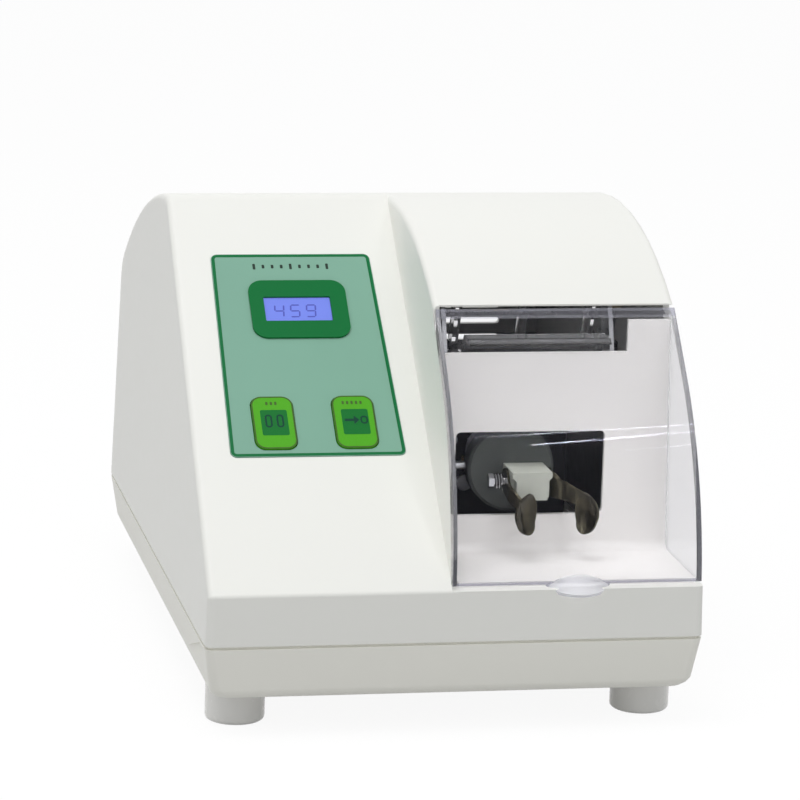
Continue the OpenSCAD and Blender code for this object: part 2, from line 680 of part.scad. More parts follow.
// Motor with its two end bells, on the line of the shaft
module motor_can() color("dimgray") at_rest() on_shaft(motor_y) difference() {
    cylinder(d = motor_d, h = motor_l, $fn = 96);
    translate([0, 0, -1]) cylinder(d = motor_d - 5, h = motor_l + 2, $fn = 96);
}

module bell(out, depth) difference() {
    union() {
        cylinder(d = motor_d, h = 4, $fn = 96);
        translate([0, 0, -out]) cylinder(d = 28, h = out + 1, $fn = 64);
        translate([0, 0, 3.9]) cylinder(d = motor_d - 5.2, h = depth, $fn = 96);
    }
    translate([0, 0, -out - 1]) cylinder(d = 10, h = 40, $fn = 48);
    translate([0, 0, 4 - 7]) cylinder(d = 22, h = 40, $fn = 64);
    translate([0, 0, 7]) cylinder(d = motor_d - 12, h = 40, $fn = 64);
    for (a = [45:90:359]) rotate(a) translate([21, 0, -5]) cylinder(d = 4.2, h = 14, $fn = 32);
}

module motor_front_bell() color("silver") at_rest() on_shaft(motor_y - 4) bell(4, 6);

module motor_rear_bell() color("silver") at_rest()
    on_shaft(motor_y + motor_l + 4) rotate([180, 0, 0]) bell(4, 6);

module motor_bearings() color("silver") at_rest()
    for (y = [motor_y - 4 - 3, motor_y + motor_l + 4 - 4]) on_shaft(y) difference() {
        cylinder(d = 22, h = 7, $fn = 64);
        translate([0, 0, -1]) cylinder(d = 8.1, h = 9, $fn = 64);
    }

// Stator ring with its windings
module motor_stator() color("peru") at_rest() on_shaft(motor_y + 10) difference() {
    union() {
        translate([0, 0, 6]) cylinder(d = motor_d - 5.1, h = motor_l - 32, $fn = 96);
        cylinder(d = motor_d - 7, h = motor_l - 20, $fn = 96);
    }
    translate([0, 0, -1]) cylinder(d = motor_d - 13, h = motor_l, $fn = 96);
}

// Shaft with the rotor pack that runs in the motor
module motor_shaft() color("silver") at_rest() {
    on_shaft(hub_y - 4.5) cylinder(d = 8, h = motor_y + motor_l + 22 - hub_y + 4.5, $fn = 48);
    on_shaft(motor_y + 16) cylinder(d = motor_d - 14, h = motor_l - 32, $fn = 96);
}

module cooling_fan() color("darkgray") at_rest() on_shaft(motor_y + motor_l + 10) difference() {
    union() {
        cylinder(d = 18, h = 9, $fn = 48);
        cylinder(d = 54, h = 1.5, $fn = 96);
        for (a = [0:40:359]) rotate(a) translate([8, -0.75, 0]) cube([18.5, 1.5, 9]);
    }
    translate([0, 0, -1]) cylinder(d = 8, h = 12, $fn = 48);
}

// Offset weight that balances the wobbling fork
module balance_weight() color("goldenrod") at_rest() on_shaft(hub_y + 9.5) difference() {
    union() {
        cylinder(d = 16, h = 9, $fn = 64);
        intersection() {
            cylinder(d = 36, h = 9, $fn = 96);
            translate([-20, 0, 0]) cube([40, 20, 9]);
        }
    }
    translate([0, 0, -1]) cylinder(d = 8, h = 12, $fn = 48);
}

// Tilted sleeve on the shaft that makes the hub wobble
module wobble_sleeve() color("lightgray") at_rest() difference() {
    on_shaft(hub_y) rotate([sleeve_tilt, 0, 0]) cylinder(d = 11.4, h = 9, center = true, $fn = 64);
    on_shaft(hub_y - 12) cylinder(d = 8, h = 24, $fn = 48);
}

// Bent steel bracket that holds the motor by its front bell
module motor_bracket() color("dimgray") at_rest() difference() {
    union() {
        translate([shaft_x - 35, bracket_front, bracket_foot]) cube([70, bracket_t, shaft_z + 34 - bracket_foot]);
        translate([shaft_x - 35, bracket_front, bracket_foot]) cube([70, 80, bracket_t]);
        for (x = [shaft_x - 35, shaft_x + 35 - bracket_t])
            along_x(x, x + bracket_t) polygon([[motor_y - 4, bracket_foot], [motor_y + 70, bracket_foot],
                                               [motor_y + 70, bracket_foot + 8], [motor_y - 4, 26]]);
    }
    on_shaft(motor_y - 12) cylinder(d = 28.4, h = 14, $fn = 64);
    for (a = [45:90:359])
        on_shaft(motor_y - 12) rotate(a) translate([21, 0, 0]) cylinder(d = 4.4, h = 14, $fn = 32);
    for (s = mount_spots) translate([s[0], s[1], bracket_foot - 1]) cylinder(d = 8, h = 6, $fn = 32);
    for (z = arm_screws) translate([arm_x + 11, bracket_front - 1, z]) rotate([-90, 0, 0])
        cylinder(d = 2.4, h = 5, $fn = 24);
}

// Rubber buffers between the bracket and the pan
module motor_mounts() color("black") at_rest()
    for (s = mount_spots) translate([s[0], s[1], pan_floor + 2.5]) {
    cylinder(d = 14, h = bracket_foot - pan_floor - 2.5, $fn = 48);
    cylinder(d = 7.9, h = bracket_foot - pan_floor + bracket_t, $fn = 48);
    translate([0, 0, bracket_foot - pan_floor - 2.5 + bracket_t]) cylinder(d = 12, h = 2.5, $fn = 48);
}

module motor_screws() color("silver") at_rest() {
    for (a = [45:90:359]) on_shaft(bracket_front - 3) rotate(a) translate([21, 0, 0]) {
        cylinder(d = 7.5, h = 3, $fn = 32);
        cylinder(d = 4, h = 12, $fn = 32);
    }
    for (z = arm_screws) translate([arm_x + 11, bracket_front - 7, z]) rotate([-90, 0, 0]) {
        cylinder(d = 5.5, h = 2, $fn = 32);
        cylinder(d = 2.36, h = 9.5, $fn = 24);
    }
}

// Round hub that carries the fork and rocks on the tilted sleeve
module fork_hub() color("dimgray") at_rest() on_shaft(hub_y - hub_front) difference() {
    union() {
        cylinder(r = hub_r, h = 10, $fn = 96);
        cylinder(r = 15.5, h = hub_front + 4.5, $fn = 64);
    }
    translate([0, 0, hub_front - 4]) cylinder(r = 13, h = 20, $fn = 64);
    translate([0, 0, 1.8]) cylinder(r = 9.5, h = 20, $fn = 64);
    translate([-13.5, 0, hub_front]) rotate([0, -90, 0]) cylinder(d = 4, h = 10, $fn = 32);
    for (s = block_screws) translate([s[0], s[1], -1]) cylinder(d = 2.6, h = 4, $fn = 24);
    for (s = block_screws) translate([s[0], s[1], 0.5]) cylinder(d = 4.5, h = 4, $fn = 24);
    rotate_extrude($fn = 96) translate([hub_r, 0]) rotate(45) square(1.8, center = true);
}

module hub_bearing() color("silver") at_rest() on_shaft(hub_y - 4 + rim) difference() {
    cylinder(r = 13, h = 8, $fn = 64);
    translate([0, 0, -1]) cylinder(r = 6.9, h = 12, $fn = 64);
}

// Pin on the rocking axis that keeps the fork from turning with the shaft
module guide_pin() color("silver") at_rest() translate([shaft_x - 13.6, hub_y, shaft_z]) rotate([0, -90, 0])
    cylinder(d = pin_d, h = 19.8, $fn = 32);

// Slotted arm on the motor bracket in which the guide pin slides
module guide_arm() color("dimgray") at_rest() difference() {
    union() {
        translate([arm_x, 67, shaft_z - 7]) cube([5, bracket_front - 67, 14]);
        translate([arm_x, bracket_front - 5, shaft_z - 10.5]) cube([16, 5, 21]);
        along_x(arm_x + 1, arm_x + 4) polygon([
            [82, shaft_z - 7], [bracket_front, shaft_z - 10.5],
            [bracket_front, shaft_z + 10.5], [82, shaft_z + 7]]);
    }
    translate([arm_x - 1, hub_y - 5.5, shaft_z - pin_d / 2 - 0.06]) cube([7, 11, pin_d + 0.12]);
    for (z = arm_screws) translate([arm_x + 11, bracket_front - 6, z]) rotate([-90, 0, 0])
        cylinder(d = 3.2, h = 7, $fn = 24);
}

// Block on the front of the hub to which the claw arms are clamped
module fork_block() color("gainsboro") at_rest() difference() {
    union() {
        translate([block_l, block_y + 5.5, shaft_z - 10.5]) cube([block_w, hub_y - hub_front - block_y - 5.5, 13]);
        translate([0, hub_y - hub_front, 0]) rotate([90, 0, 0])
            linear_extrude(hub_y - hub_front - block_y) polygon([
            [block_l + 2, shaft_z - 10.5], [block_l + block_w - 2, shaft_z - 10.5],
            [block_l + block_w - 2, shaft_z - 1.8], [block_l + block_w, shaft_z + 0.2], [block_l + block_w, shaft_z + 2.5],
            [block_l, shaft_z + 2.5], [block_l, shaft_z + 0.2], [block_l + 2, shaft_z - 1.8]]);
    }
    translate([0, bolt_y, bolt_z]) rotate([0, 90, 0]) cylinder(d = 4, h = 90, $fn = 32);
    for (s = block_screws) on_shaft(hub_y - hub_front - 8) translate([s[0], s[1], 0])
        cylinder(d = 2.6, h = 9, $fn = 24);
}

// Screws from inside the hub into the block
module fork_screws() color("silver") at_rest() for (s = block_screws)
    on_shaft(hub_y - hub_front) translate([s[0], s[1], 0]) {
        translate([0, 0, -6]) cylinder(d = 2.55, h = 7, $fn = 24);
        translate([0, 0, 0.52]) cylinder(d = 4.4, h = 1.2, $fn = 24);
    }

// Bolt across the block that carries both claw arms
module clamp_bolt() color("silver") at_rest() translate([bolt_x, bolt_y, bolt_z]) rotate([0, 90, 0]) {
    cylinder(d = 7.2, h = 2.4, $fn = 6);
    cylinder(d = 3.9, h = 32.4, $fn = 32);
    translate([0, 0, 30.8]) cylinder(d = 6.6, h = 1.6, $fn = 6);
}

function coil_point(i) = let(a = 360 * i / coil_steps)
    [coil_pitch * i / coil_steps, coil_r * cos(a), coil_r * sin(a)];
function coil_ring(i) = let(a = 360 * i / coil_steps, c = coil_point(i)) [for (k = [0:5])
    c + coil_wire * [sin(60 * k), cos(60 * k) * cos(a), cos(60 * k) * sin(a)]];

// Coil spring under the bolt head
module clamp_spring() color("silver") at_rest() translate([coil_x, bolt_y, bolt_z]) {
    n = coil_turns * coil_steps;
    points = [for (i = [0:n]) each coil_ring(i)];
    sides = [for (i = [0:n - 1], k = [0:5]) let(a = 6 * i + k, b = 6 * i + (k + 1) % 6) [a, b, b + 6, a + 6]];
    ends = [[5, 4, 3, 2, 1, 0], [for (k = [0:5]) 6 * n + k]];
    polyhedron(points, concat(sides, ends));
}

// Dished leaf of a claw, about its own middle, hollow side towards +X
module claw_leaf() intersection() {
    translate([13.4, 0, 0]) difference() {
        sphere(15.2, $fn = 64);
        sphere(14, $fn = 64);
    }
    translate([-8, 0, 0]) rotate([90, 0, 90]) linear_extrude(12) union() {
        intersection() {
            translate([4.1, 0.4]) circle(10.6, $fn = 96);
            translate([-4.1, 0.4]) circle(10.6, $fn = 96);
        }
        translate([0, -4.2]) circle(5.3, $fn = 64);
    }
}

// Side outline of a claw arm, from the round end on the bolt forwards and down to the leaf
module arm_outline(front) union() {
    translate([bolt_y, bolt_z]) circle(6, $fn = 64);
    polygon([[bolt_y + 1, bolt_z - 5.9], [bolt_y + 1, bolt_z + 5.9], [48.5, bolt_z + 0.2],
        [front, 54], [front, 48.6], [47, 52.4]]);
}

// Claw arm as a bent strip with a hole for the bolt
module claw_arm(path, front) difference() {
    intersection() {
        translate([0, 0, 40]) linear_extrude(40) polygon(path);
        along_x(20, 90) arm_outline(front);
    }
    translate([0, bolt_y, bolt_z]) rotate([0, 90, 0]) cylinder(d = 5, h = 90, $fn = 32);
}

// Left spring arm from the block to its dished claw
module left_claw() color("dimgray") at_rest() {
    translate([claw_mid - capsule_l / 2, claw_y, claw_z]) rotate(-58) claw_leaf();
    claw_arm([[arm_l, 66], [arm_l, 47.6], [36.6, 40.4],
        [37.9, 40.4], [arm_l + arm_t, 48], [arm_l + arm_t, 66]], 39.5);
}

// Right spring arm, which bends outwards to its dished claw
module right_claw() color("dimgray") at_rest() {
    translate([claw_mid + capsule_l / 2, claw_y, claw_z]) rotate(220) claw_leaf();
    claw_arm([[arm_r, 66], [arm_r, 53], [67, 43], [68.3, 40.7], [69.3, 41.2], [67.9, 43.8],
              [arm_r + arm_t, 53.8], [arm_r + arm_t, 66]], 39.5);
}

// Bent spring clip at the right end of the bolt
module spring_hook() color("silver") at_rest() translate([hook_x, bolt_y + 0.7, bolt_z]) rotate([90, 0, 0])
    linear_extrude(1.4) polygon([
        [0, 0.6], [1.4, -0.6], [2.8, -1.2], [5.6, -0.9], [5.6, -2.1], [2.6, -2.5], [0.8, -1.8], [0, -1]]);

// Round feet with a rounded lower edge
module feet() color("darkgray") at_rest()
    for (s = foot_spots) translate([s[0], s[1], -seam_z]) rotate_extrude($fn = 64)
    difference() {
        union() {
            translate([0, 2]) square([foot_d / 2, foot_h - 2]);
            square([foot_d / 2 - 2, 4]);
            translate([foot_d / 2 - 2, 2]) circle(2, $fn = 32);
        }
        translate([-10, -1]) square([10, foot_h + 2]);
        translate([-1, -1]) square([5.5, 5]);
        translate([-1, -1]) square([3, foot_h + 2]);
    }

module foot_screws() color("silver") at_rest() for (s = foot_spots) translate([s[0], s[1], -seam_z + 1.4]) {
    cylinder(d = 8, h = 2.6, $fn = 32);
    cylinder(d = 3.9, h = foot_h + 10, $fn = 32);
    translate([0, 0, foot_h + 6.6]) cylinder(d = 7, h = 3, $fn = 6);
}

module housing_screws() color("silver") at_rest() for (s = screw_spots) translate([s[0], s[1], -pan_h + 1]) {
    cylinder(d = 7.4, h = 3, $fn = 32);
    cylinder(d = 3.6, h = pan_h - 1, $fn = 32);
    cylinder(d = 2.7, h = pan_h + 9, $fn = 32);
}

module liner_screws() color("silver") at_rest()
    for (x = liner_post) translate([x, liner_post_y, liner_post_z - wall - 2]) {
    cylinder(d = 5.6, h = 2, $fn = 32);
    cylinder(d = 2.55, h = 10, $fn = 24);
}

module bracket_screws() color("silver") at_rest() {
    for (s = bracket_spots) translate([s[0], liner_y + 2, s[1]]) rotate([-90, 0, 0]) {
        cylinder(d = 2.55, h = liner_t + 5, $fn = 24);
        translate([0, 0, liner_t + 4]) cylinder(d = 5, h = 1.8, $fn = 32);
    }
    for (s = switch_spots) translate([81.5, s[0], s[1]]) rotate([0, 90, 0]) {
        cylinder(d = 4.2, h = 1.5, $fn = 32);
        cylinder(d = 2.35, h = 11, $fn = 24);
    }
}

upper_housing();
base_pan();
chamber_liner();
front_cover();
hinge_axle();
interlock_cam();
hinge_bracket_left();
hinge_bracket_right();
interlock_switch();
interlock_lever();
panel_overlay();
display_bezel();
display_window();
lcd_module();
control_board();
board_spacers();
key_switches();
set_button();
start_button();
power_board();
board_screws();
transformer();
power_inlet();
inlet_pins();
inlet_screws();
fuse_drawer();
fuse();
switch_frame();
power_rocker();
motor_can();
motor_front_bell();
motor_rear_bell();
motor_stator();
motor_bearings();
motor_shaft();
cooling_fan();
balance_weight();
wobble_sleeve();
motor_bracket();
motor_mounts();
motor_screws();
fork_hub();
hub_bearing();
guide_pin();
guide_arm();
fork_block();
fork_screws();
clamp_bolt();
clamp_spring();
left_claw();
right_claw();
spring_hook();
feet();
foot_screws();
housing_screws();
liner_screws();
bracket_screws();
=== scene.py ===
import json
import math

import bmesh
import bpy
from mathutils import Matrix, Vector


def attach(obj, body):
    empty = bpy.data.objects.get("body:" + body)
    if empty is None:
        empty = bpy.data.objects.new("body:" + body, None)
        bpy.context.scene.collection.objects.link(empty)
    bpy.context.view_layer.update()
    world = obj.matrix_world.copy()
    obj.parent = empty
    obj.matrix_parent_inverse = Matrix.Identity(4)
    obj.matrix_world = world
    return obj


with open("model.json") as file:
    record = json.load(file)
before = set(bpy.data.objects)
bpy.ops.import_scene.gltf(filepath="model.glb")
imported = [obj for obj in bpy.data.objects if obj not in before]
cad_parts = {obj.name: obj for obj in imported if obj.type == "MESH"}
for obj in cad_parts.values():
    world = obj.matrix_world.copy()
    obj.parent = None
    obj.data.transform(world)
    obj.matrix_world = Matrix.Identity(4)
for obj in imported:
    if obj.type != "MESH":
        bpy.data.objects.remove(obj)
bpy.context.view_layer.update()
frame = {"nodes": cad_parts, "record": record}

# Frame of the part: millimetres from the front face and above the seam, as in the CAD source
MID_Y, SEAM_Z = 167.34168, 43.5

# Housing: half width, left side of the hood, edge of its lip, foot of the rear wall and the slopes
HALF_W, HOOD_X, LIP_Y, REAR_FOOT = 115, -3, 63, 337.156
FASCIA_H, SLOPE = 23.5, math.radians(40)
SIDE_DRAFT, REAR_TILT = math.radians(1.4), math.radians(4)

# Clear cover: centre and radius of its curve, sheet thickness, left edge, and the point (y, z)
# where the curve turns into the straight top, with the rise of that top
COVER_AXIS, COVER_R, COVER_T, COVER_LEFT = (138.5, 25), 135, 2.5, -1.6
KNEE, KNEE_RISE = (38.18, 115.3), 1.1106

# Control panel: across and up the slope
PANEL_X, PANEL_V, PANEL_R = -55, 77, 3
PANEL_W, PANEL_TOP_W, PANEL_H = 82, 76.5, 120
DISPLAY_V = 163
BUTTON_V, BUTTON_X, BUTTON_SIZE = 96, (-74, -36), (19.5, 30)

# Heights of the printed faces over the slope
OVERLAY_TOP, WINDOW_TOP, BUTTON_TOP = 0.4, 0.6, 1.2


def local(x, y, z):
    return Vector((x, y - MID_Y, z + SEAM_Z)) / 1000


def on_slope(x, v, w):
    return local(x, v * math.cos(SLOPE) - w * math.sin(SLOPE),
                 FASCIA_H + v * math.sin(SLOPE) + w * math.cos(SLOPE))


# Camera at the photograph's angle: place in metres, turns in degrees, focal length and picture
# centre in pixels of the photograph
CAMERA_PLACE = (-0.3801, -1.86224, 0.5379)
CAMERA_TURNS = (11.54, 12.58, 1.82)
FOCAL_PX, CENTRE_PX, PHOTO_PX = 3989, (391.1, 409.0), 800
SENSOR_MM = 36


def make_camera():
    yaw, pitch, roll = (math.radians(a) for a in CAMERA_TURNS)
    forward = Vector((math.sin(yaw) * math.cos(pitch), math.cos(yaw) * math.cos(pitch),
                      -math.sin(pitch)))
    level = Vector((math.cos(yaw), -math.sin(yaw), 0))
    upward = level.cross(forward)
    right = level * math.cos(roll) + upward * math.sin(roll)
    up = upward * math.cos(roll) - level * math.sin(roll)
    axes = Matrix((right, up, -forward)).transposed().to_4x4()
    data = bpy.data.cameras.new("photo_camera")
    camera = bpy.data.objects.new("photo_camera", data)
    bpy.context.scene.collection.objects.link(camera)
    camera.matrix_world = Matrix.Translation(CAMERA_PLACE) @ axes
    data.sensor_width = SENSOR_MM
    data.lens = SENSOR_MM * FOCAL_PX / PHOTO_PX
    data.shift_x = (PHOTO_PX / 2 - CENTRE_PX[0]) / PHOTO_PX
    data.shift_y = (CENTRE_PX[1] - PHOTO_PX / 2) / PHOTO_PX
    data.clip_start, data.clip_end = 0.05, 60
    bpy.context.scene.camera = camera


# Colour as it is seen, to the linear value that a shader takes
def rgb(r, g, b):
    return tuple((c / 255 / 12.92 if c / 255 <= 0.04045 else ((c / 255 + 0.055) / 1.055) ** 2.4)
                 for c in (r, g, b)) + (1.0,)


def shade(color, k):
    return tuple(min(1.0, c * k) for c in color[:3]) + (1.0,)


def grey(value):
    return (value, value, value, 1.0)


# Shows the second of two shaders at the output by a factor, and the first for the rest
def mix_shaders(tree, factor, first, second, output):
    both = tree.nodes.new("ShaderNodeMixShader")
    tree.links.new(factor, both.inputs["Fac"])
    tree.links.new(first, both.inputs[1])
    tree.links.new(second, both.inputs[2])
    tree.links.new(both.outputs["Shader"], output.inputs["Surface"])


# 1 for the rays that show a background: from the camera, through glass and off gloss
def background_rays(tree):
    path = tree.nodes.new("ShaderNodeLightPath")
    rays = path.outputs["Is Camera Ray"]
    for name in ("Is Transmission Ray", "Is Glossy Ray"):
        either = tree.nodes.new("ShaderNodeMath")
        either.operation = "MAXIMUM"
        tree.links.new(rays, either.inputs[0])
        tree.links.new(path.outputs[name], either.inputs[1])
        rays = either.outputs[0]
    return rays


class Shader:
    """Node tree of one material, with short calls for its nodes and links."""

    def __init__(self, name):
        self.material = bpy.data.materials.new(name)
        self.material.use_nodes = True
        self.tree = self.material.node_tree
        self.tree.nodes.clear()
        self.output = self.node("ShaderNodeOutputMaterial")
        self.base = self.node("ShaderNodeBsdfPrincipled")
        self.link(self.base.outputs["BSDF"], self.output.inputs["Surface"])
        self.coords = self.node("ShaderNodeTexCoord").outputs["Object"]

    def node(self, kind, **values):
        made = self.tree.nodes.new(kind)
        for key, value in values.items():
            setattr(made, key, value)
        return made

    def link(self, a, b):
        self.tree.links.new(a, b)

    def put(self, **values):
        for key, value in values.items():
            self.base.inputs[key.replace("_", " ")].default_value = value

    # Sets a socket to a plain value, or links it to another socket
    def feed(self, socket, value):
        if isinstance(value, (int, float, tuple)):
            socket.default_value = value
        else:
            self.link(value, socket)

    # Object coordinates stretched by a factor for each axis
    def stretched(self, scale):
        mapping = self.node("ShaderNodeMapping")
        mapping.inputs["Scale"].default_value = scale
        self.link(self.coords, mapping.inputs["Vector"])
        return mapping.outputs["Vector"]

    def noise(self, scale, detail=2.0, stretch=None):
        made = self.node("ShaderNodeTexNoise")
        made.inputs["Scale"].default_value = scale
        made.inputs["Detail"].default_value = detail
        self.link(self.stretched(stretch) if stretch else self.coords, made.inputs["Vector"])
        return made.outputs["Fac"]

    def spread(self, value, low, high, start=0.3, end=0.7):
        made = self.node("ShaderNodeMapRange")
        made.inputs["From Min"].default_value = start
        made.inputs["From Max"].default_value = end
        made.inputs["To Min"].default_value = low
        made.inputs["To Max"].default_value = high
        self.link(value, made.inputs["Value"])
        return made.outputs["Result"]

    def mix(self, factor, a, b):
        made = self.node("ShaderNodeMix", data_type="RGBA")
        self.link(factor, made.inputs["Factor"])
        self.feed(made.inputs[6], a)
        self.feed(made.inputs[7], b)
        return made.outputs[2]

    # Slow drift between two colours over the surface
    def drift(self, scale, detail, a, b):
        return self.mix(self.spread(self.noise(scale, detail), 0.0, 1.0), a, b)

    def math(self, operation, a, b=0.0, c=0.0):
        made = self.node("ShaderNodeMath", operation=operation)
        for socket, value in zip(made.inputs, (a, b, c)):
            self.feed(socket, value)
        return made.outputs[0]

    # 1 where every test (operation, value, limit) holds
    def all_of(self, *tests):
        inside = 1.0
        for operation, value, limit in tests:
            inside = self.math("MULTIPLY", self.math(operation, value, limit), inside)
        return inside

    # Object coordinates in the millimetres of the CAD source
    def place(self):
        parts = self.node("ShaderNodeSeparateXYZ")
        self.link(self.coords, parts.inputs[0])
        x, y, z = (self.math("MULTIPLY", out, 1000.0) for out in parts.outputs)
        return x, self.math("ADD", y, MID_Y), self.math("SUBTRACT", z, SEAM_Z)

    def color(self, socket):
        self.link(socket, self.base.inputs["Base Color"])

    def rough(self, socket):
        self.link(socket, self.base.inputs["Roughness"])

    # Bumps on one another, each a height with its depth in metres and its strength
    def bump(self, *heights):
        last = None
        for value, depth, strength in heights:
            made = self.node("ShaderNodeBump")
            made.inputs["Strength"].default_value = strength
            made.inputs["Distance"].default_value = depth
            self.link(value, made.inputs["Height"])
            if last is not None:
                self.link(last, made.inputs["Normal"])
            last = made.outputs["Normal"]
        self.link(last, self.base.inputs["Normal"])


# Painted shade: the inner faces round the motor are coloured dark to stand in for the shade inside
# the housing: 1 there, and 0 elsewhere
def painted_motor_shade(s):
    painted_shade_top, hood_wall, lip_wall, skin = 74.0, 3.6, 6.0, 1.5
    x, y, z = s.place()
    flank = s.math("MULTIPLY_ADD", z, math.tan(SIDE_DRAFT), x)
    rear = s.math("MULTIPLY_ADD", z, math.tan(REAR_TILT), y)
    return s.all_of(("GREATER_THAN", x, HOOD_X + hood_wall), ("GREATER_THAN", y, LIP_Y + lip_wall),
                    ("LESS_THAN", z, painted_shade_top), ("LESS_THAN", flank, HALF_W - skin),
                    ("LESS_THAN", rear, REAR_FOOT - skin))


# Moulded plastic: slow colour drift, fine grain and a slight flow waviness; the inner colour, if
# given, is painted shade on the inner faces round the motor
def plastic(name, color, rough=0.36, grain=0.35, drift=0.02, scale=1400, coat=0.0, gloss=0.5,
            inner=None):
    s = Shader(name)
    fine = s.noise(scale, 3.0)
    tinted = s.drift(9.0, 3.0, shade(color, 1 - drift), color)
    whole = s.mix(s.spread(fine, 0.0, 1.0), tinted, shade(color, 1 - drift / 2))
    # inner: a dark colour painted as shade on the inner faces round the motor
    if inner:
        whole = s.mix(painted_motor_shade(s), whole, inner)
    s.color(whole)
    s.rough(s.spread(s.noise(scale / 6, 2.0), rough - 0.04, rough + 0.05))
    s.bump((s.noise(26.0, 1.0), 0.0004, 0.12), (fine, 0.00004, grain))
    s.put(Specular_IOR_Level=gloss, Coat_Weight=coat, Coat_Roughness=0.08)
    return s.material


# Metal with fine lines along one direction
def metal(name, color, rough=0.28, lines=(1, 1, 30), grain=0.25, drift=0.08):
    s = Shader(name)
    streaks = s.noise(260.0, 4.0, stretch=lines)
    s.color(s.drift(60.0, 3.0, shade(color, 1 - drift), color))
    s.rough(s.spread(streaks, rough - 0.07, rough + 0.1))
    s.bump((streaks, 0.00005, grain))
    s.put(Metallic=1.0)
    return s.material


# Pressed spring steel, dark and glossy, with soft ridges along the leaf, and dark streaks painted
# into the colour along them as painted reflections
def spring_leaf(name, color):
    s = Shader(name)
    ridges_and_painted_streaks = s.noise(300.0, 2.0, stretch=(1.0, 1.0, 0.18))
    # Darker colour along the ridges: painted dark reflections
    s.color(s.mix(s.spread(ridges_and_painted_streaks, 0.0, 1.0, 0.4, 0.6), shade(color, 0.45), color))
    s.rough(s.spread(s.noise(900.0, 3.0), 0.1, 0.24))
    s.bump((ridges_and_painted_streaks, 0.0012, 0.6), (s.noise(2400.0, 2.0), 0.00003, 0.3))
    s.put(Metallic=1.0)
    return s.material


def rubber(name, color):
    s = Shader(name)
    fine = s.noise(2200.0, 4.0)
    s.color(s.drift(40.0, 3.0, shade(color, 0.82), color))
    s.rough(s.spread(fine, 0.6, 0.82))
    s.bump((fine, 0.00008, 0.5))
    return s.material


# Printed film with a very fine leathery grain and little gloss
def printed_film(name, color, rough=0.3, emit=0.0):
    s = Shader(name)
    cells = s.node("ShaderNodeTexVoronoi")
    cells.inputs["Scale"].default_value = 1800.0
    s.link(s.coords, cells.inputs["Vector"])
    s.color(s.drift(24.0, 2.0, shade(color, 0.97), color))
    s.rough(s.spread(cells.outputs["Distance"], rough - 0.05, rough + 0.07, 0.0, 0.6))
    s.bump((cells.outputs["Distance"], 0.00003, 0.25))
    if emit:
        s.put(Emission_Color=color, Emission_Strength=emit)
    s.put(Specular_IOR_Level=0.1)
    return s.material


# Circuit board: solder mask with fine tracks that show as a slightly lighter grid
def board(name, color):
    s = Shader(name)
    bricks = s.node("ShaderNodeTexBrick")
    for socket, value in (("Scale", 160.0), ("Mortar Size", 0.06), ("Color1", color),
                          ("Color2", shade(color, 0.86)), ("Mortar", shade(color, 1.7))):
        bricks.inputs[socket].default_value = value
    s.link(s.coords, bricks.inputs["Vector"])
    s.color(bricks.outputs["Color"])
    s.rough(s.spread(s.noise(500.0, 2.0), 0.28, 0.42))
    s.bump((bricks.outputs["Fac"], 0.00003, 0.6))
    return s.material


# Stack of thin steel sheets
def laminated(name, color, across):
    s = Shader(name)
    bands = s.node("ShaderNodeTexWave", wave_type="BANDS", bands_direction="DIAGONAL")
    bands.inputs["Scale"].default_value = 320.0
    bands.inputs["Distortion"].default_value = 0.6
    s.link(s.stretched(across), bands.inputs["Vector"])
    s.color(s.mix(bands.outputs["Fac"], shade(color, 0.5), color))
    s.rough(s.spread(s.noise(300.0, 3.0), 0.35, 0.55))
    s.bump((bands.outputs["Fac"], 0.0001, 0.7))
    s.put(Metallic=0.85)
    return s.material


# How far a point lies below the outer skin of the cover, in millimetres: below the curve, and
# above the knee below the straight top
def cover_depth(s, y, z):
    out_y, out_z = (s.math("POWER", s.math("SUBTRACT", value, centre), 2.0)
                    for value, centre in zip((y, z), COVER_AXIS))
    curved = s.math("SUBTRACT", COVER_R, s.math("POWER", s.math("ADD", out_y, out_z), 0.5))
    flat = s.math("SUBTRACT", s.math("MULTIPLY", s.math("SUBTRACT", y, KNEE[0]), KNEE_RISE),
                  s.math("SUBTRACT", z, KNEE[1]))
    flat = s.math("MULTIPLY", flat, 1 / math.hypot(1, KNEE_RISE))
    upper = s.math("GREATER_THAN", z, KNEE[1])
    return s.math("MULTIPLY_ADD", s.math("SUBTRACT", flat, curved), upper, curved)


